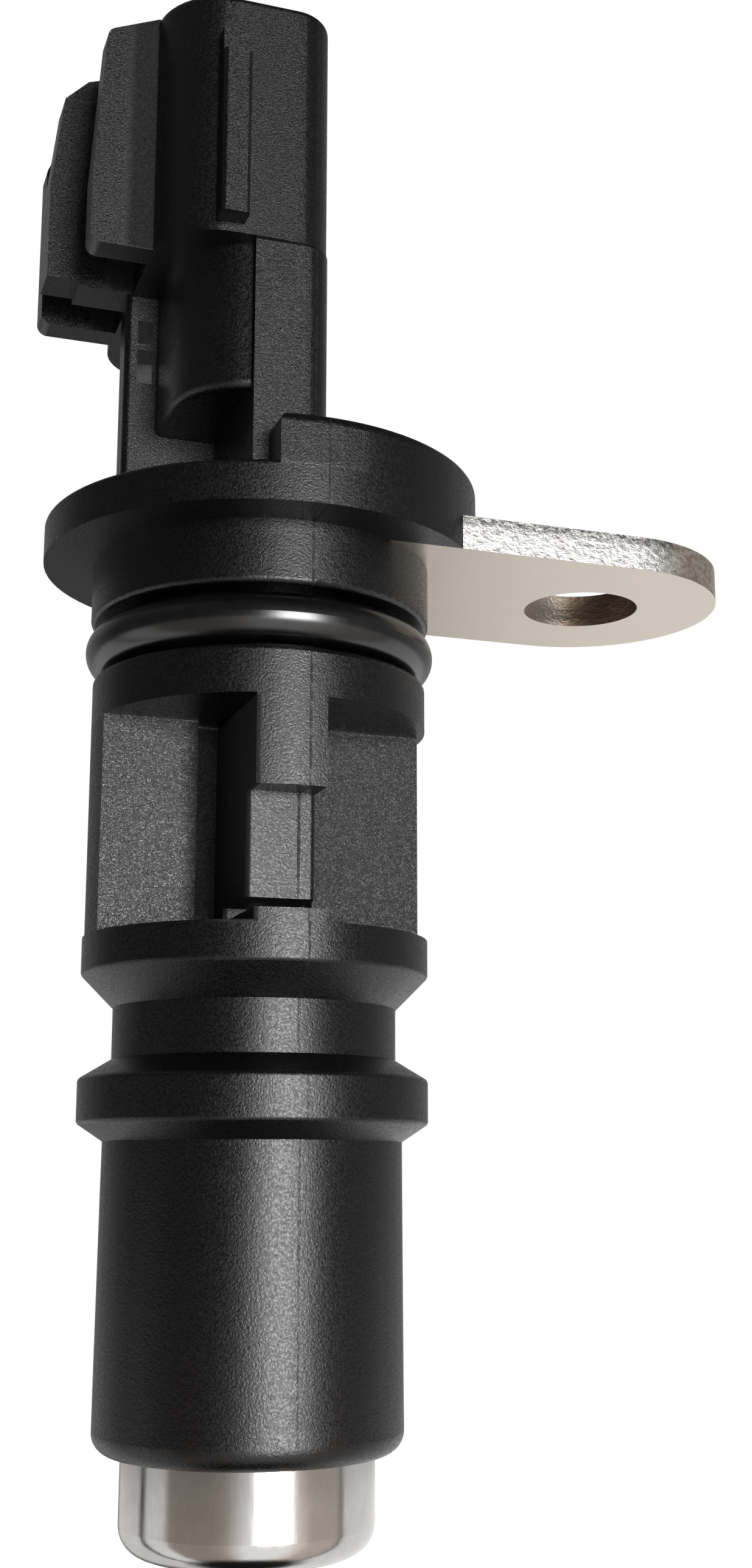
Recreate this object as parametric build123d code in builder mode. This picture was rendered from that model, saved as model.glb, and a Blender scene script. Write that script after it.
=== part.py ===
from build123d import *
import os

os.makedirs("parts", exist_ok=True)

# All sizes are millimetres. The origin is on the barrel's axis, in the plane
# where the flange sits on the engine. X runs along the bracket to its bolt hole,
# Z runs up through the connector, and the housing's mould closes on a YZ plane.

# Flange and bracket
flange_radius = 12.26
flange_low = 2.2
flange_high = 4.91
flange_step_x = -2.28
flange_round = 0.6
rim_round = 0.25
bracket_thickness = 1.92
bracket_half_width = 8.07
bolt_distance = 20.0
bolt_hole_radius = 3.4
anchor_opening_radius = 5.2

# Neck under the flange, with the groove of the seal
neck_radius = 9.5
neck_length = 3.47
groove_width = 3.25
groove_radius = 7.0
shoulder_round = 0.3
seal_section_radius = 1.37

# Windowed section: a web across the axis, with a rib on each side of it
land_radius = 9.29
land_length = 2.6
window_length = 11.72
web_half_thickness = 1.9
web_flat_x = 8.74
rib_center_x = -0.65
rib_half_width = 1.86
rib_flush_length = 4.77
block_half_depth = 7.2
block_length = 5.55
block_root_half_depth = 2.6
boss_height = 0.65
web_slot_width = 1.4
rib_round = 0.3
web_slot_depth = 1.3

# Guide rings and barrel
ring_radius = 9.4
upper_ring_length = 1.95
upper_cone_length = 1.77
waist_radius = 7.65
waist_length = 2.73
lower_cone_length = 1.06
lower_ring_length = 2.3
barrel_cone_length = 0.93
barrel_top_radius = 8.0
barrel_bottom_radius = 8.1
barrel_length = 15.72
barrel_end_round = 1.1

# Steel tip cap
cap_radius = 6.58
cap_wall = 0.35
cap_exposed = 4.9
cap_hidden = 8.5
cap_edge_round = 1.5
cap_lip = 0.45

# Connector shroud
shroud_center_x = -3.43
shroud_width = 9.35
shroud_length = 20.0
shroud_base = 15.5
shroud_height = 14.1
shroud_wall = 1.3
shroud_latch_corner = 3.7
shroud_bolt_corner = 2.2
mouth_round = 0.45
socket_floor = 4.2

# Keying rib on the near end of the shroud
key_center_x = -4.66
key_width = 1.55
key_depth = 1.3
key_base = 0.5
key_height = 9.5
key_step_height = 1.4
key_step_depth = 1.0
key_round = 0.25

# Latch side of the shroud: a catch between two guard fins
fin_thickness = 1.7
fin_round = 0.6
fin_height = 14.0
fin_top_reach = 2.8
near_fin_center_y = -5.75
near_fin_reach = 3.4
near_fin_straight = 4.0
near_fin_top_drop = 1.2
far_fin_center_y = 4.95
far_fin_reach = 4.4
far_fin_straight = 9.8
far_fin_top_drop = 0.4
catch_thickness = 2.4
catch_root_reach = 3.1
catch_reach = 4.9
catch_shoulder = 0.34
catch_ramp_base = 6.0
catch_ramp_top = 11.5
catch_ramp_inset = 0.65
catch_nose = 1.3
catch_height = 13.8

# Tail between the flange and the shroud
tail_inset = 0.3
pillar_left = -3.15
pillar_corner = 1.6
column_radius = 4.4
column_left = -6.6
column_base = 7.17
column_inset = 0.5
column_round = 0.5
spine_left = -8.4
spine_half_thickness = 0.95
spine_round = 0.4
spine_window_left = -7.7
spine_window_width = 0.85
spine_window_base = 10.3
spine_window_heights = (2.0, 1.35)
spine_window_bar = 0.4

# Contact blades, and the leads they run into
blade_pitch = 4.5
blade_width = 1.5
blade_thickness = 0.8
blade_tip_drop = 4.6
blade_tip_chamfer = 0.2
lead_width = 1.1
lead_pitch = 2.2
bend_radius = 1.0
upper_jog_inset = 0.5
upper_jog_length = 3.2
spread_above_flange = 4.0
spread_length = 4.0
lower_jog_above_cap = 3.0
lower_jog_length = 2.5

# Sensing module inside the cap
module_gap = 0.1
carrier_drop = 0.6
chip_length = 5.2
chip_width = 4.2
chip_height = 1.3
chip_floor = 0.4
chip_lead_width = 0.6
chip_lead_thickness = 0.35
chip_lead_reach = 0.5
magnet_radius = 2.3
magnet_height = 4.0
pole_height = 1.0
weld_clearance = 0.4
weld_length = 2.2
capacitor_length = 2.0
capacitor_width = 1.25
capacitor_height = 0.9

# Shoulders, worked down from the flange
neck_bottom = -neck_length
groove_bottom = neck_bottom - groove_width
window_top = groove_bottom - land_length
window_bottom = window_top - window_length
flush_bottom = window_top - rib_flush_length
block_bottom = flush_bottom - block_length
upper_ring_bottom = window_bottom - upper_ring_length
waist_top = upper_ring_bottom - upper_cone_length
waist_bottom = waist_top - waist_length
lower_ring_top = waist_bottom - lower_cone_length
lower_ring_bottom = lower_ring_top - lower_ring_length
barrel_top = lower_ring_bottom - barrel_cone_length
barrel_bottom = barrel_top - barrel_length
cap_bottom = barrel_bottom - cap_exposed
cap_top = barrel_bottom + cap_hidden

# Heights and planes of the connector and its tail
socket_bottom = shroud_base + socket_floor
mouth = shroud_base + shroud_height
blade_top = mouth - blade_tip_drop
shroud_left = shroud_center_x - shroud_width / 2
shroud_right = shroud_center_x + shroud_width / 2
tail_half_length = shroud_length / 2 - tail_inset
upper_jog_top = socket_bottom - upper_jog_inset
upper_jog_bottom = upper_jog_top - upper_jog_length
spread_bottom = flange_high + spread_above_flange
spread_top = spread_bottom + spread_length

# Heights and planes of the sensing module
carrier_bottom = cap_bottom + cap_wall
carrier_top = cap_top - carrier_drop
carrier_radius = cap_radius - cap_wall - module_gap
chip_bottom = carrier_bottom + chip_floor
chip_top = chip_bottom + chip_height
magnet_top = chip_top + magnet_height
pole_top = magnet_top + pole_height
weld_bottom = pole_top + weld_clearance
weld_top = weld_bottom + weld_length
chip_lead_z = chip_bottom + chip_height / 2
chip_lead_x = -(chip_width / 2 + chip_lead_reach + chip_lead_thickness / 2)
weld_x = chip_lead_x + (chip_lead_thickness + blade_thickness) / 2
lower_jog_top = cap_top + lower_jog_above_cap
lower_jog_bottom = lower_jog_top - lower_jog_length

sides = (-1, 1)
circuits = (-1, 0, 1)


def shroud_outline(height, inset):
    """Rounded oblong of the shroud at a height, drawn in by an inset."""
    with BuildSketch(Plane.XY.offset(height)) as outline:
        with Locations((shroud_center_x, 0)):
            Rectangle(shroud_width - 2 * inset, shroud_length - 2 * inset)
        fillet(outline.vertices().group_by(Axis.X)[0], shroud_latch_corner - inset)
        fillet(outline.vertices().group_by(Axis.X)[-1], shroud_bolt_corner - inset)
    return outline.sketch


# Contact blades: flat strips bent in two planes, one for each circuit
terminals = []
for circuit in circuits:
    blade_y = circuit * blade_pitch
    lead_y = circuit * lead_pitch
    with BuildPart() as terminal:
        with BuildSketch(Plane.XZ):
            with BuildLine():
                FilletPolyline(
                    (shroud_center_x, blade_top),
                    (shroud_center_x, upper_jog_top),
                    (rib_center_x, upper_jog_bottom),
                    (rib_center_x, lower_jog_top),
                    (weld_x, lower_jog_bottom),
                    (weld_x, weld_bottom),
                    radius=bend_radius,
                )
            trace(line_width=blade_thickness)
        extrude(amount=shroud_length, both=True)
        with BuildSketch(Plane.YZ):
            with BuildLine():
                Line((blade_y, blade_top), (blade_y, upper_jog_bottom))
            trace(line_width=blade_width)
            with BuildLine():
                Polyline(
                    (blade_y, upper_jog_top),
                    (blade_y, spread_top),
                    (lead_y, spread_bottom),
                    (lead_y, weld_bottom),
                )
            trace(line_width=lead_width)
        extrude(amount=shroud_length, both=True, mode=Mode.INTERSECT)
        chamfer(terminal.edges().group_by(Axis.Z)[-1], blade_tip_chamfer)
    terminals.append(terminal)

# Sensor chip, flat behind the floor of the cap
with BuildPart() as sensor_chip:
    with BuildSketch(Plane.XY.offset(chip_bottom)):
        Rectangle(chip_width, chip_length)
    extrude(amount=chip_height)

# Leads of the chip, bent up beside the magnet to the weld
chip_leads = []
for circuit in circuits:
    with BuildPart() as chip_lead:
        with BuildSketch(Plane.XZ.offset(-circuit * lead_pitch)):
            with BuildLine():
                FilletPolyline(
                    (-chip_width / 2, chip_lead_z),
                    (chip_lead_x, chip_lead_z),
                    (chip_lead_x, weld_top),
                    radius=chip_lead_thickness,
                )
            trace(line_width=chip_lead_thickness)
        extrude(amount=chip_lead_width / 2, both=True)
    chip_leads.append(chip_lead)

# Bias magnet on the chip
with BuildPart() as magnet:
    with BuildSketch(Plane.XY.offset(chip_top)):
        Circle(magnet_radius)
    extrude(amount=magnet_height)

# Steel pole piece on the magnet
with BuildPart() as pole_piece:
    with BuildSketch(Plane.XY.offset(magnet_top)):
        Circle(magnet_radius)
    extrude(amount=pole_height)

# Two capacitors, each across a pair of neighbouring leads
capacitors = []
for side in sides:
    with BuildPart() as capacitor:
        with BuildSketch(Plane.YZ.offset(rib_center_x + blade_thickness / 2)):
            with Locations((side * lead_pitch / 2, lower_jog_top + capacitor_width)):
                Rectangle(capacitor_length, capacitor_width)
        extrude(amount=capacitor_height)
    capacitors.append(capacitor)

# Carrier that holds the chip, the magnet and the welds inside the cap
with BuildPart() as chip_carrier:
    with BuildSketch(Plane.XY.offset(carrier_bottom)):
        Circle(carrier_radius)
    extrude(amount=carrier_top - carrier_bottom)
    fillet(chip_carrier.edges().group_by(Axis.Z)[0], cap_edge_round - cap_wall)
    for piece in [sensor_chip, magnet, pole_piece] + chip_leads + terminals:
        add(piece.part, mode=Mode.SUBTRACT)

# Drawn steel cap over the tip, held in the barrel by its lip
with BuildPart() as tip_cap:
    with BuildSketch(Plane.XY.offset(cap_bottom)):
        Circle(cap_radius)
    extrude(amount=cap_top - cap_bottom)
    fillet(tip_cap.edges().group_by(Axis.Z)[0], cap_edge_round)
    offset(amount=-cap_wall, openings=tip_cap.faces().sort_by(Axis.Z)[-1])
    with BuildSketch(Plane.XY.offset(cap_top)):
        Circle(cap_radius + cap_lip)
        Circle(cap_radius - cap_wall, mode=Mode.SUBTRACT)
    extrude(amount=-cap_wall)

# Steel bracket: a flat blank, round at both ends, moulded into the flange
with BuildPart() as mounting_bracket:
    with BuildSketch():
        with Locations((bolt_distance / 2, 0)):
            SlotCenterToCenter(bolt_distance, 2 * bracket_half_width)
        Circle(anchor_opening_radius, mode=Mode.SUBTRACT)
        with Locations((bolt_distance, 0)):
            Circle(bolt_hole_radius, mode=Mode.SUBTRACT)
    extrude(amount=bracket_thickness)

# Rubber seal ring in its groove
with BuildPart() as o_ring:
    with BuildSketch(Plane.XZ):
        with Locations((groove_radius + seal_section_radius, neck_bottom - groove_width / 2)):
            Circle(seal_section_radius)
    revolve(axis=Axis.Z)

# Moulded housing: barrel, guide rings, flange, tail and connector in one piece
with BuildPart() as housing:
    # Turned forms, from the low flange down to the end of the barrel
    with BuildSketch(Plane.XZ) as turned:
        with BuildLine():
            Polyline(
                (0, flange_low),
                (flange_radius, flange_low),
                (flange_radius, 0),
                (neck_radius, 0),
                (neck_radius, neck_bottom),
                (groove_radius, neck_bottom),
                (groove_radius, groove_bottom),
                (land_radius, groove_bottom),
                (land_radius, window_bottom),
                (ring_radius, window_bottom),
                (ring_radius, upper_ring_bottom),
                (waist_radius, waist_top),
                (waist_radius, waist_bottom),
                (ring_radius, lower_ring_top),
                (ring_radius, lower_ring_bottom),
                (barrel_top_radius, barrel_top),
                (barrel_bottom_radius, barrel_bottom),
                (0, barrel_bottom),
                (0, flange_low),
            )
        make_face()
        shoulders = [
            corner
            for corner in turned.vertices()
            if corner.X > barrel_bottom_radius
            and corner.Y < 0
            and abs(corner.Y - window_bottom) > shoulder_round
        ]
        fillet(shoulders, shoulder_round)
        rim = turned.vertices().filter_by(lambda corner: corner.Y > 0).sort_by(Axis.X)[-1]
        fillet(rim, rim_round)
    revolve(axis=Axis.Z)
    fillet(housing.edges().group_by(Axis.Z)[0], barrel_end_round)

    # Windows, cut away beside the web and the ribs
    with BuildSketch(Plane.XY.offset(window_bottom)):
        Circle(flange_radius)
        Rectangle(2 * flange_radius, 2 * web_half_thickness, mode=Mode.SUBTRACT)
        with Locations((rib_center_x, 0)):
            Rectangle(2 * rib_half_width, 2 * flange_radius, mode=Mode.SUBTRACT)
        with Locations((web_flat_x, 0)):
            Rectangle(flange_radius, 2 * web_half_thickness, align=(Align.MIN, Align.CENTER))
        for side in sides:
            for half in sides:
                slot_x = rib_center_x + half * (rib_half_width + web_slot_width / 2)
                with Locations((slot_x, side * (web_half_thickness - web_slot_depth / 2))):
                    Rectangle(web_slot_width, web_slot_depth)
    extrude(amount=window_length, mode=Mode.SUBTRACT)

    # Each rib is flush above, steps back below, and ends over a narrow gap
    for side in sides:
        outward = Align.MIN if side > 0 else Align.MAX
        with BuildSketch(Plane.XY.offset(flush_bottom)):
            with Locations((rib_center_x, side * block_half_depth)):
                Rectangle(4 * rib_half_width, flange_radius, align=(Align.CENTER, outward))
        extrude(amount=window_bottom + boss_height - flush_bottom, mode=Mode.SUBTRACT)
        with BuildSketch(Plane.XY.offset(block_bottom)):
            with Locations((rib_center_x, side * block_root_half_depth)):
                Rectangle(4 * rib_half_width, flange_radius, align=(Align.CENTER, outward))
        extrude(amount=window_bottom + boss_height - block_bottom, mode=Mode.SUBTRACT)

    # Rounded long edges of the blocks
    block_edges = (
        housing.edges()
        .filter_by(Axis.Z)
        .filter_by(lambda edge: abs(abs(edge.center().Y) - block_half_depth) < rib_round)
    )
    fillet(block_edges, rib_round)

    # High part of the flange, over the root of the bracket
    with BuildSketch():
        Circle(flange_radius)
        with Locations((flange_step_x, 0)):
            Rectangle(
                2 * flange_radius,
                2 * flange_radius,
                align=(Align.MIN, Align.CENTER),
                mode=Mode.INTERSECT,
            )
    extrude(amount=flange_high)
    fillet(housing.edges().group_by(Axis.Z)[-1], flange_round)

    # Pillar of the tail, a wall round the lead frame
    with BuildSketch() as pillar:
        with Locations((pillar_left, 0)):
            Rectangle(
                shroud_right - pillar_left,
                2 * tail_half_length,
                align=(Align.MIN, Align.CENTER),
            )
        fillet(pillar.vertices().group_by(Axis.X)[-1], pillar_corner)
    extrude(amount=shroud_base)

    # Columns that bulge from the pillar at both ends, open underneath
    column_reach = pillar_left - column_left + pillar_corner
    with BuildSketch(Plane.XY.offset(column_base)) as columns:
        with Locations((column_left, 0)):
            Rectangle(
                column_reach,
                2 * (tail_half_length - column_inset),
                align=(Align.MIN, Align.CENTER),
            )
        fillet(columns.vertices().group_by(Axis.X)[0], column_radius)
    extrude(amount=shroud_base - column_base)
    column_edges = housing.edges(Select.LAST).filter_by_position(
        Axis.Z, column_base - column_round / 2, column_base + column_round / 2
    )
    fillet(column_edges.filter_by(GeomType.CIRCLE), column_round)

    # Spine that carries the catch, in the middle of the tail, with two windows
    with BuildSketch() as spine:
        with Locations((spine_left, 0)):
            Rectangle(
                pillar_left - spine_left + pillar_corner,
                2 * spine_half_thickness,
                align=(Align.MIN, Align.CENTER),
            )
        fillet(spine.vertices().group_by(Axis.X)[0], spine_round)
    extrude(amount=shroud_base)
    window_z = spine_window_base
    for spine_window_height in spine_window_heights:
        with BuildSketch(Plane.XZ):
            with Locations((spine_window_left, window_z)):
                Rectangle(
                    spine_window_width,
                    spine_window_height,
                    align=(Align.MIN, Align.MIN),
                )
        extrude(amount=flange_radius, both=True, mode=Mode.SUBTRACT)
        window_z += spine_window_height + spine_window_bar

    # Shroud with its socket
    extrude(shroud_outline(shroud_base, 0), amount=shroud_height)
    extrude(
        shroud_outline(socket_bottom, shroud_wall),
        amount=mouth - socket_bottom,
        mode=Mode.SUBTRACT,
    )
    fillet(housing.edges().group_by(Axis.Z)[-1], mouth_round)

    # Keying rib, lower at its top
    with BuildSketch(Plane.XY.offset(shroud_base + key_base)) as key:
        with Locations((key_center_x, -shroud_length / 2)):
            Rectangle(key_width, key_depth, align=(Align.CENTER, Align.MAX))
        fillet(key.vertices().group_by(Axis.Y)[0], key_round)
    extrude(amount=key_height)
    with BuildSketch(Plane.XY.offset(shroud_base + key_base)):
        with Locations((key_center_x, -shroud_length / 2)):
            Rectangle(key_width, key_step_depth, align=(Align.CENTER, Align.MAX))
    extrude(amount=key_height + key_step_height)

    # Guard fins of the latch, each drawn in above its straight lower part
    root_x = shroud_left + shroud_wall / 2
    for center_y, reach, straight, top_drop in (
        (near_fin_center_y, near_fin_reach, near_fin_straight, near_fin_top_drop),
        (far_fin_center_y, far_fin_reach, far_fin_straight, far_fin_top_drop),
    ):
        with BuildSketch(Plane.XZ.offset(-center_y)) as fin:
            with BuildLine():
                Polyline(
                    (root_x, shroud_base),
                    (shroud_left - reach, shroud_base),
                    (shroud_left - reach, shroud_base + straight),
                    (shroud_left - fin_top_reach, shroud_base + fin_height - top_drop),
                    (shroud_left, shroud_base + fin_height),
                    (root_x, shroud_base + fin_height),
                    (root_x, shroud_base),
                )
            make_face()
            outer = fin.vertices().filter_by(lambda corner: corner.X < shroud_left - fin_round)
            fillet(outer, fin_round)
        extrude(amount=fin_thickness / 2, both=True)

    # Catch between the fins, with its ramp above and its shoulder below
    with BuildSketch(Plane.XZ):
        with BuildLine():
            Polyline(
                (root_x, shroud_base),
                (shroud_left - catch_root_reach, shroud_base),
                (shroud_left - catch_root_reach, shroud_base + catch_shoulder),
                (shroud_left - catch_reach, shroud_base + catch_shoulder),
                (shroud_left - catch_reach, shroud_base + catch_ramp_base),
                (shroud_left - catch_reach + catch_ramp_inset, shroud_base + catch_ramp_top),
                (
                    shroud_left - catch_reach + catch_ramp_inset + catch_nose,
                    shroud_base + catch_ramp_top + catch_nose,
                ),
                (shroud_left, shroud_base + catch_height),
                (root_x, shroud_base + catch_height),
                (root_x, shroud_base),
            )
        make_face()
    extrude(amount=catch_thickness / 2, both=True)

    # Room for the parts that are moulded in
    with BuildSketch(Plane.XY.offset(barrel_bottom)):
        Circle(cap_radius - cap_wall)
    extrude(amount=carrier_top - barrel_bottom, mode=Mode.SUBTRACT)
    for piece in [tip_cap, mounting_bracket] + terminals + capacitors:
        add(piece.part, mode=Mode.SUBTRACT)

pieces = {
    "housing": housing,
    "mounting_bracket": mounting_bracket,
    "o_ring": o_ring,
    "tip_cap": tip_cap,
    "chip_carrier": chip_carrier,
    "sensor_chip": sensor_chip,
    "bias_magnet": magnet,
    "pole_piece": pole_piece,
}
for number, terminal in enumerate(terminals, start=1):
    pieces[f"terminal_{number}"] = terminal
for number, chip_lead in enumerate(chip_leads, start=1):
    pieces[f"chip_lead_{number}"] = chip_lead
for number, capacitor in enumerate(capacitors, start=1):
    pieces[f"capacitor_{number}"] = capacitor

for name, piece in pieces.items():
    piece.part.label = name
    export_step(piece.part, f"parts/{name}.step")
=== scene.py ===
import math

import bpy
from mathutils import Matrix, Vector

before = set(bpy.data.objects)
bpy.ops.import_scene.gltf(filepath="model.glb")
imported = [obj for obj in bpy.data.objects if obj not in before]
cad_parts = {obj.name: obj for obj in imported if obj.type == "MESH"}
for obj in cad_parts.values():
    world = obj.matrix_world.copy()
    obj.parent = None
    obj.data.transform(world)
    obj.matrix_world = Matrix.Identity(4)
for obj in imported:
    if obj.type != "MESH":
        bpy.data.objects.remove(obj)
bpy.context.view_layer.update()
scene = bpy.context.scene

MM = 0.001

# Camera, as fitted to the edges in the photo
CAMERA_AT = Vector((-26.131, -97.325, -33.553)) * MM
CAMERA_FORWARD = Vector((0.3148, 0.9261, 0.2080))
CAMERA_RIGHT = Vector((0.9467, -0.3221, 0.0015))
CAMERA_LENS = 42.34
SENSOR_WIDTH = 36.0
CLIP_START = 5.0 * MM
# Angle about the vertical at which the camera stands, from which the lights are counted
TO_CAMERA = math.atan2(-CAMERA_FORWARD.y, -CAMERA_FORWARD.x)

# Places on the housing: the seam's plane, the web's faces, and heights along z
SEAM_X = 0.3 * MM
WEB_FACE = 2.1 * MM
WINDOW_TOP = -9.32 * MM
WINDOW_BOTTOM = -21.04 * MM
GAP_TOP = -19.55 * MM
FLANGE_LOW = 2.2 * MM
SHROUD_BASE = 15.5 * MM

# Bands on the housing: where each one starts, is full, starts to fade, and ends.
# The first two lie along z, the others along x
SOFT = 0.2 * MM
WINDOW_BAND = (WINDOW_BOTTOM - SOFT, WINDOW_BOTTOM, WINDOW_TOP - SOFT, WINDOW_TOP)
GAP_BAND = (WINDOW_BOTTOM - SOFT, WINDOW_BOTTOM, GAP_TOP - 0.05 * MM, GAP_TOP)
RIB_CORNER_BAND = (-5.0 * MM, -3.4 * MM, -2.4 * MM, -2.2 * MM)
FIN_ROOT_BAND = (-9.9 * MM, -9.2 * MM, -8.1 * MM, -7.9 * MM)

# The bolt hole in the bracket
BOLT_X = 20.0 * MM
HOLE_RADIUS = 3.4 * MM


# ---- Node helpers ----
def shade(colour):
    """Red, green and blue of a colour or a grey level."""
    return tuple(colour) if hasattr(colour, "__len__") else (colour,) * 3


class Graph:
    """A small wrapper that builds a shader tree node by node."""

    def __init__(self, tree):
        self.tree = tree
        self.tree.nodes.clear()

    def node(self, kind, **values):
        made = self.tree.nodes.new(kind)
        for name, value in values.items():
            setattr(made, name, value)
        return made

    def link(self, source, target):
        self.tree.links.new(source, target)

    def put(self, value, socket):
        """Link another node's output to a socket, or set a number or colour on it."""
        if isinstance(value, bpy.types.NodeSocket):
            self.link(value, socket)
        else:
            socket.default_value = value

    def math(self, operation, *values, clamp=False):
        made = self.node("ShaderNodeMath", operation=operation, use_clamp=clamp)
        for number, value in enumerate(values):
            self.put(value, made.inputs[number])
        return made.outputs[0]

    def product(self, first, *others):
        """All values, multiplied."""
        for value in others:
            first = self.math("MULTIPLY", first, value)
        return first

    def weighted(self, start, *terms):
        """A start value, with each term's value times its weight added."""
        for value, weight in terms:
            start = self.math("ADD", start, self.product(value, weight))
        return start

    def split(self, vector):
        """The x, y and z of a vector."""
        made = self.node("ShaderNodeSeparateXYZ")
        self.link(vector, made.inputs[0])
        return tuple(made.outputs)

    def facing(self):
        """The x, y and z of the surface's normal."""
        return self.split(self.node("ShaderNodeNewGeometry").outputs["Normal"])

    def scaled(self, vector, scale):
        made = self.node("ShaderNodeMapping")
        made.inputs["Scale"].default_value = scale
        self.link(vector, made.inputs["Vector"])
        return made.outputs[0]

    def noise(self, vector, scale, detail, roughness):
        """Noise from 0 to 1. Its scale is in waves per metre."""
        made = self.node("ShaderNodeTexNoise")
        self.link(vector, made.inputs["Vector"])
        for name, number in (("Scale", scale), ("Detail", detail), ("Roughness", roughness)):
            made.inputs[name].default_value = number
        return made.outputs["Fac"]

    def ramp(self, factor, stops):
        """A linear colour ramp. Each stop is a place with a colour or a grey level."""
        made = self.node("ShaderNodeValToRGB")
        elements = made.color_ramp.elements
        while len(elements) > 1:
            elements.remove(elements[-1])
        for number, (place, colour) in enumerate(stops):
            element = elements[0] if number == 0 else elements.new(place)
            element.position = place
            element.color = (*shade(colour), 1.0)
        self.put(factor, made.inputs["Fac"])
        return made.outputs["Color"]

    def step(self, value, start, end, at_start=0.0, at_end=1.0):
        """A smooth step over the values from start to end, which may also run downwards."""
        made = self.node("ShaderNodeMapRange", interpolation_type="SMOOTHSTEP")
        self.put(value, made.inputs["Value"])
        for name, number in (
            ("From Min", start),
            ("From Max", end),
            ("To Min", at_start),
            ("To Max", at_end),
        ):
            made.inputs[name].default_value = number
        return made.outputs["Result"]

    def band(self, value, start, full, fade, end):
        """1 between full and fade, and 0 below start and above end."""
        return self.product(self.step(value, start, full), self.step(value, end, fade))

    def mix(self, factor, first, second):
        """A mix of two colours, each of them a socket, a colour or a grey level."""
        made = self.node("ShaderNodeMix", data_type="RGBA")
        self.put(factor, made.inputs["Factor"])
        colours = [socket for socket in made.inputs if socket.type == "RGBA"]
        for value, socket in zip((first, second), colours):
            if not isinstance(value, bpy.types.NodeSocket):
                value = (*shade(value), 1.0)
            self.put(value, socket)
        return next(socket for socket in made.outputs if socket.type == "RGBA")

    def bump(self, height, strength, distance):
        made = self.node("ShaderNodeBump")
        self.link(height, made.inputs["Height"])
        made.inputs["Strength"].default_value = strength
        made.inputs["Distance"].default_value = distance
        return made.outputs["Normal"]


def new_material(name):
    """A material, its graph, the inputs of its Principled shader, and object coordinates."""
    material = bpy.data.materials.new(name)
    material.use_nodes = True
    graph = Graph(material.node_tree)
    graph.shader = graph.node("ShaderNodeBsdfPrincipled")
    graph.output = graph.node("ShaderNodeOutputMaterial")
    graph.link(graph.shader.outputs[0], graph.output.inputs["Surface"])
    place = graph.node("ShaderNodeTexCoord").outputs["Object"]
    return material, graph, graph.shader.inputs, place


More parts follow.
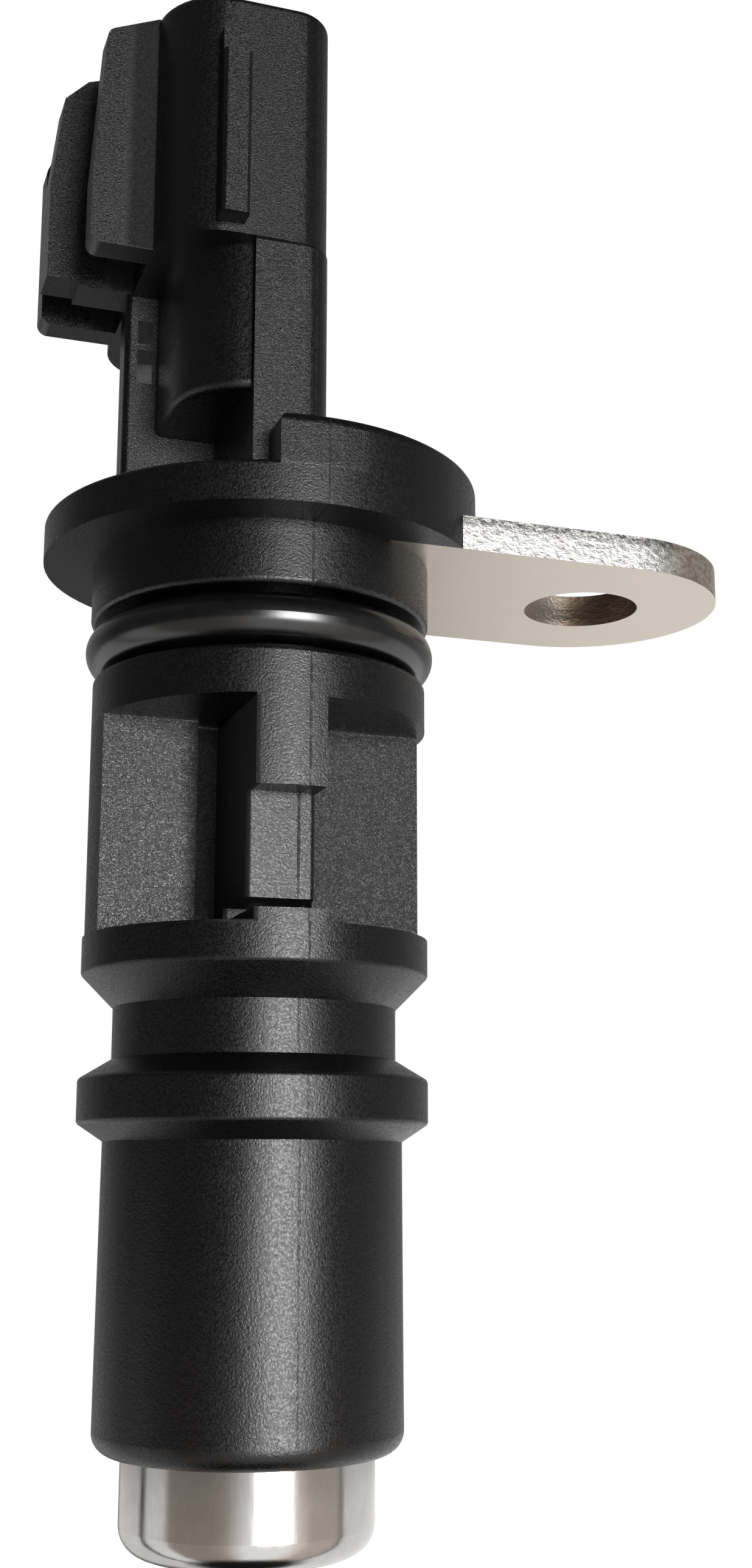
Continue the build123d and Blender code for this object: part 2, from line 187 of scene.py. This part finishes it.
# ---- Materials ----
def moulded_plastic():
    """Black glass-filled nylon: fine grain, pale specks, and the line where the mould closed."""
    material, graph, inputs, place = new_material("black_moulding")
    along, across, up = graph.split(place)
    facing_y, facing_z = (graph.math("ABSOLUTE", part) for part in graph.facing()[1:])
    grain = graph.noise(place, scale=8200.0, detail=2.0, roughness=0.75)
    coarse = graph.noise(place, scale=2400.0, detail=2.0, roughness=0.5)
    cloud = graph.noise(place, scale=260.0, detail=3.0, roughness=0.6)
    mottle = graph.noise(place, scale=7600.0, detail=0.0, roughness=0.5)
    mottle = graph.step(mottle, 0.36, 0.64)
    pits = graph.noise(place, scale=12500.0, detail=1.0, roughness=0.5)
    pits = graph.step(pits, 0.42, 0.58)
    specks = graph.noise(place, scale=9500.0, detail=1.0, roughness=0.5)
    specks = graph.step(specks, 0.58, 0.72)
    salt = graph.noise(place, scale=11500.0, detail=1.0, roughness=0.5)
    salt = graph.step(salt, 0.57, 0.66)

    # The web in the windows and the flat faces of the tail and shroud are more coarsely etched
    window = graph.band(up, *WINDOW_BAND)
    deep = graph.step(graph.math("ABSOLUTE", across), WEB_FACE + 0.3 * MM, WEB_FACE)
    web = graph.product(deep, window)
    flat = graph.step(facing_y, 0.97, 0.995)
    upper = graph.step(up, FLANGE_LOW - SOFT, FLANGE_LOW)
    etched = graph.math("MAXIMUM", web, graph.product(flat, upper))
    rugged = graph.product(etched, pits)
    # The web is duller on the bracket's side of the ribs
    dimmer = graph.product(web, graph.step(along, -1.0 * MM, 1.0 * MM))

    # Painted shade in the corner beside the ribs, at the near fin's root, and in the gap: these
    # strips are made matt, and no pale specks show on them
    corner = graph.product(graph.band(along, *RIB_CORNER_BAND), window)
    root = graph.product(
        graph.band(along, *FIN_ROOT_BAND),
        graph.step(up, SHROUD_BASE, SHROUD_BASE + 0.1 * MM),
        flat,
    )
    gap = graph.product(graph.band(up, *GAP_BAND), graph.step(facing_z, 0.6, 0.8))
    shaded_corners = graph.math("MAXIMUM", graph.math("MAXIMUM", corner, root), gap)

    # The mould closes on a plane across the bracket, and its line is fainter on the barrel
    off_line = graph.math("ABSOLUTE", graph.math("SUBTRACT", along, SEAM_X))
    waver = graph.product(graph.math("SUBTRACT", cloud, 0.5), 0.12 * MM)
    seam = graph.product(
        graph.step(graph.math("ADD", off_line, waver), 0.10 * MM, 0.03 * MM),
        graph.step(coarse, 0.35, 0.6, 0.25, 1.0),
        graph.step(up, -26.0 * MM, -20.0 * MM, 0.45, 1.0),
    )

    # Salt shows on etched faces only, not in the strips of painted shade, and less of it from
    # the flange up
    bare = graph.math("SUBTRACT", etched, shaded_corners, clamp=True)
    salt = graph.product(salt, bare, graph.step(upper, 0.0, 1.0, 0.9, 0.5))
    base = graph.ramp(cloud, [(0.3, (0.0014, 0.0014, 0.0015)), (0.7, (0.0022, 0.0022, 0.0024))])
    colour = graph.mix(graph.product(specks, 0.5), base, 0.012)
    colour = graph.mix(salt, colour, 0.11)
    colour = graph.mix(graph.product(seam, 0.5), colour, 0.001)
    rough = graph.weighted(
        0.17,
        (grain, 0.2),
        (mottle, 0.13),
        (seam, 0.3),
        (etched, -0.02),
        (rugged, 0.14),
        (dimmer, 0.16),
        (shaded_corners, 0.45),
    )
    height = graph.weighted(grain, (coarse, 0.2), (rugged, 0.5), (seam, -0.45))
    graph.link(colour, inputs["Base Color"])
    graph.link(rough, inputs["Roughness"])
    graph.link(graph.bump(height, strength=0.6, distance=0.04 * MM), inputs["Normal"])
    inputs["Specular IOR Level"].default_value = 0.62
    return material


def seal_rubber():
    """Smooth black rubber with a soft shine."""
    material, graph, inputs, place = new_material("black_rubber")
    film = graph.noise(place, scale=900.0, detail=3.0, roughness=0.6)
    graph.link(graph.ramp(film, [(0.35, 0.0025), (0.7, 0.005)]), inputs["Base Color"])
    graph.link(graph.weighted(0.20, (film, 0.12)), inputs["Roughness"])
    graph.link(graph.bump(film, strength=0.2, distance=0.03 * MM), inputs["Normal"])
    inputs["Specular IOR Level"].default_value = 1.0
    return material


def drawn_steel():
    """Bright drawn stainless steel, with faint lines along the axis."""
    material, graph, inputs, place = new_material("cap_steel")
    stretched = graph.scaled(place, (1.0, 1.0, 0.06))
    lines = graph.noise(stretched, scale=9000.0, detail=2.0, roughness=0.6)
    cloud = graph.noise(place, scale=500.0, detail=3.0, roughness=0.6)
    colour = graph.ramp(cloud, [(0.3, (0.60, 0.585, 0.565)), (0.7, (0.70, 0.685, 0.665))])
    graph.link(colour, inputs["Base Color"])
    graph.link(graph.weighted(0.10, (lines, 0.12)), inputs["Roughness"])
    graph.link(graph.bump(lines, strength=0.12, distance=0.01 * MM), inputs["Normal"])
    inputs["Metallic"].default_value = 1.0
    return material


def bracket_steel():
    """Bare steel sheet: smooth faces, a torn, speckled band on the sheared edge, and painted
    light and shade round the edge's end and on the wall of the bolt hole.
    """
    material, graph, inputs, place = new_material("bracket_steel")
    along, across, height = graph.split(place)
    facing_x, _, facing_z = graph.facing()
    edge = graph.step(graph.math("ABSOLUTE", facing_z), 0.75, 0.35)
    cloud = graph.noise(place, scale=420.0, detail=4.0, roughness=0.6)
    stretched = graph.scaled(place, (0.7, 0.7, 1.0))
    fine = graph.noise(stretched, scale=3600.0, detail=2.0, roughness=0.7)
    face = graph.ramp(cloud, [(0.3, (0.74, 0.65, 0.56)), (0.7, (0.83, 0.745, 0.655))])

    # The sheared edge is cleaner at its foot and torn at its top
    worn = graph.math("ADD", fine, graph.step(height, 0.3 * MM, 1.4 * MM, 0.05, -0.06))
    bright = graph.ramp(worn, [(0.36, (0.40, 0.39, 0.38)), (0.52, (0.68, 0.67, 0.655))])
    rough_top = graph.ramp(fine, [(0.38, (0.12, 0.115, 0.11)), (0.62, (0.42, 0.41, 0.395))])
    top = graph.step(graph.weighted(height, (fine, 0.8 * MM)), 1.7 * MM, 2.0 * MM)
    torn_and_painted_light = graph.mix(top, bright, rough_top)
    # Painted shade round the end, where the edge faces along x, and a painted highlight at its
    # tip
    dimmer = graph.ramp(fine, [(0.38, (0.48, 0.40, 0.33)), (0.62, (0.76, 0.66, 0.56))])
    torn_and_painted_light = graph.mix(graph.step(facing_x, 0.15, 0.45), torn_and_painted_light, dimmer)
    tip = graph.product(graph.step(facing_x, 0.72, 0.88), 0.8)
    torn_and_painted_light = graph.mix(tip, torn_and_painted_light, (0.90, 0.83, 0.76))

    # Painted light and shade on the wall of the hole: a painted highlight on the side near the
    # axis, and painted shade in dark brown on the far side
    away = graph.math("SUBTRACT", along, BOLT_X)
    reach = graph.math("SQRT", graph.weighted(graph.product(away, away), (across, across)))
    bored = graph.step(reach, HOLE_RADIUS + SOFT, HOLE_RADIUS)
    hole_light_and_shade = graph.ramp(
        graph.step(along, BOLT_X - 1.5 * MM, BOLT_X + 1.2 * MM),
        [(0.0, (0.80, 0.73, 0.65)), (1.0, (0.24, 0.175, 0.12))],
    )

    colour = graph.mix(edge, face, torn_and_painted_light)
    # The painted light and shade go on the wall of the hole
    colour = graph.mix(graph.product(bored, edge), colour, hole_light_and_shade)
    graph.link(colour, inputs["Base Color"])
    graph.link(graph.weighted(0.26, (cloud, 0.2), (edge, 0.12)), inputs["Roughness"])
    tear = graph.product(fine, edge)
    graph.link(graph.bump(tear, strength=0.6, distance=0.10 * MM), inputs["Normal"])
    inputs["Metallic"].default_value = 1.0
    return material


def plain(name, colour, roughness, metallic=0.0):
    """A quiet material, slightly uneven, for the pieces that are sealed inside."""
    material, graph, inputs, place = new_material(name)
    cloud = graph.noise(place, scale=700.0, detail=3.0, roughness=0.6)
    dark = tuple(0.85 * part for part in colour)
    graph.link(graph.ramp(cloud, [(0.3, dark), (0.7, colour)]), inputs["Base Color"])
    graph.link(graph.weighted(roughness - 0.07, (cloud, 0.15)), inputs["Roughness"])
    inputs["Metallic"].default_value = metallic
    return material


looks = {
    "housing": moulded_plastic(),
    "mounting_bracket": bracket_steel(),
    "o_ring": seal_rubber(),
    "tip_cap": drawn_steel(),
    "chip_carrier": plain("carrier_plastic", (0.09, 0.09, 0.10), roughness=0.5),
    "sensor_chip": plain("chip_epoxy", (0.035, 0.035, 0.04), roughness=0.3),
    "bias_magnet": plain("magnet_alloy", (0.30, 0.30, 0.32), roughness=0.45, metallic=1.0),
    "pole_piece": plain("pole_steel", (0.55, 0.55, 0.55), roughness=0.35, metallic=1.0),
    # Numbered pieces share a look
    "terminal": plain("tinned_brass", (0.76, 0.75, 0.72), roughness=0.28, metallic=1.0),
    "chip_lead": plain("tinned_copper", (0.72, 0.72, 0.73), roughness=0.32, metallic=1.0),
    "capacitor": plain("ceramic", (0.48, 0.36, 0.25), roughness=0.5),
}
for name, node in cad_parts.items():
    node.data.materials.clear()
    node.data.materials.append(looks[name.rstrip("_0123456789")])


# ---- Surroundings ----
def warm(level):
    """A grey level with a warm tint."""
    return (level, 0.87 * level, 0.78 * level)


# Each stop is an angle, 0 towards the camera and growing to its right, with what shows there
SIDES = (
    (-180, 0.45),
    (-130, 0.28),
    (-108, 0.08),
    (-5, 0.05),
    (50, 0.12),
    (75, 0.18),
    (100, 0.20),
    (130, 0.34),
    (180, 0.45),
)
GROUND = (
    (-180, 0.20),
    (-173, 0.08),
    (-163, 0.20),
    (-152, 0.70),
    (-107, 0.80),
    (-105, 0.02),
    (-100, 0.02),
    (-97, 0.90),
    (-74, 0.90),
    (-70, warm(0.34)),
    (-30, warm(0.34)),
    (-15, warm(0.44)),
    (2, 1.0),
    (37, 1.1),
    (55, warm(0.85)),
    (62, warm(0.60)),
    (92, warm(0.55)),
    (94, 0.15),
    (97, 0.15),
    (100, 0.86),
    (176, 0.95),
    (180, 0.40),
)
CEILING = ((-150, 0.13), (-60, 0.12), (-30, 0.05), (180, 0.06))
BOX_ACROSS = ((12, 0.0), (18, 1.0), (36, 1.0), (43, 0.0))
# Stops of the box in height run from 0, straight down, to 1, straight up
BOX_HEIGHT = ((0.37, 0.0), (0.40, 1.0), (0.575, 1.0), (0.605, 0.0))
BOX_LEVEL = 17.0
LAMP_AIM = Vector((0.0, 0.0, -10.0)) * MM


def studio_world():
    """A studio, white to the camera: one softbox beside it, grey sides, a pale ground."""
    world = bpy.data.worlds.new("studio")
    scene.world = world
    world.use_nodes = True
    graph = Graph(world.node_tree)
    ways = graph.node("ShaderNodeTexCoord").outputs["Generated"]
    way_x, way_y, lift = graph.split(ways)
    turn = graph.math("SUBTRACT", graph.math("ARCTAN2", way_y, way_x), TO_CAMERA)
    turn = graph.math("WRAP", turn, math.pi, -math.pi)
    turn = graph.math("ADD", graph.math("DIVIDE", turn, 2 * math.pi), 0.5)

    def around(stops):
        return graph.ramp(turn, [(0.5 + degrees / 360.0, level) for degrees, level in stops])

    colour = graph.mix(graph.step(lift, -0.125, -0.16), around(SIDES), around(GROUND))
    colour = graph.mix(graph.step(lift, 0.40, 0.75), colour, around(CEILING))
    colour = graph.mix(graph.step(lift, -0.84, -0.95), colour, 0.01)
    box_height = graph.ramp(graph.weighted(0.5, (lift, 0.5)), BOX_HEIGHT)
    box = graph.product(around(BOX_ACROSS), box_height, BOX_LEVEL)
    total = graph.node("ShaderNodeVectorMath", operation="ADD")
    graph.link(colour, total.inputs[0])
    graph.link(box, total.inputs[1])
    path = graph.node("ShaderNodeLightPath")
    seen = graph.mix(path.outputs["Is Camera Ray"], total.outputs[0], 1.0)
    background = graph.node("ShaderNodeBackground")
    graph.link(seen, background.inputs["Color"])
    output = graph.node("ShaderNodeOutputWorld")
    graph.link(background.outputs[0], output.inputs["Surface"])


def look_along(at, forward, right):
    """Matrix of a camera or lamp at a place, looking along forward."""
    back = -forward.normalized()
    across = (right - back * right.dot(back)).normalized()
    up = back.cross(across)
    turn = Matrix((across, up, back)).transposed().to_4x4()
    return Matrix.Translation(at) @ turn


def photo_camera():
    """The camera, where the photo was taken from."""
    data = bpy.data.cameras.new("camera")
    data.lens = CAMERA_LENS
    data.sensor_width = SENSOR_WIDTH
    data.clip_start = CLIP_START
    camera = bpy.data.objects.new("camera", data)
    scene.collection.objects.link(camera)
    camera.matrix_world = look_along(CAMERA_AT, CAMERA_FORWARD, CAMERA_RIGHT)
    scene.camera = camera


def pale_floor(size, height):
    """A floor below the tip, which is plain white where it is seen."""
    bpy.ops.mesh.primitive_plane_add(size=size, location=(0, 0, height))
    floor = bpy.context.object
    floor.name = "floor"
    look, graph, inputs, place = new_material("floor_white")
    tone = graph.noise(place, scale=3.0, detail=2.0, roughness=0.5)
    graph.link(graph.ramp(tone, [(0.0, 0.82), (1.0, 0.86)]), inputs["Base Color"])
    inputs["Roughness"].default_value = 0.8
    path = graph.node("ShaderNodeLightPath").outputs
    shown = graph.math("MAXIMUM", path["Is Camera Ray"], path["Is Glossy Ray"])
    shown = graph.math("MAXIMUM", shown, path["Is Transmission Ray"])
    glow = graph.node("ShaderNodeEmission")
    either = graph.node("ShaderNodeMixShader")
    graph.link(shown, either.inputs[0])
    graph.link(graph.shader.outputs[0], either.inputs[1])
    graph.link(glow.outputs[0], either.inputs[2])
    graph.link(either.outputs[0], graph.output.inputs["Surface"])
    floor.data.materials.append(look)
    floor.visible_glossy = False


def soft_lamp(name, azimuth, height, distance, size, power):
    """A square area lamp at an azimuth from the camera's side, aimed at the part."""
    angle = TO_CAMERA + math.radians(azimuth)
    at = Vector((distance * math.cos(angle), distance * math.sin(angle), height))
    data = bpy.data.lights.new(name, "AREA")
    data.shape = "SQUARE"
    data.size = size
    data.energy = power
    lamp = bpy.data.objects.new(name, data)
    scene.collection.objects.link(lamp)
    forward = LAMP_AIM - at
    lamp.matrix_world = look_along(at, forward, Vector((-math.sin(angle), math.cos(angle), 0)))


studio_world()
photo_camera()
pale_floor(size=3.0, height=-0.20)
soft_lamp("key", azimuth=24.0, height=-0.02, distance=0.45, size=0.20, power=0.12)
scene.view_settings.view_transform = "Standard"
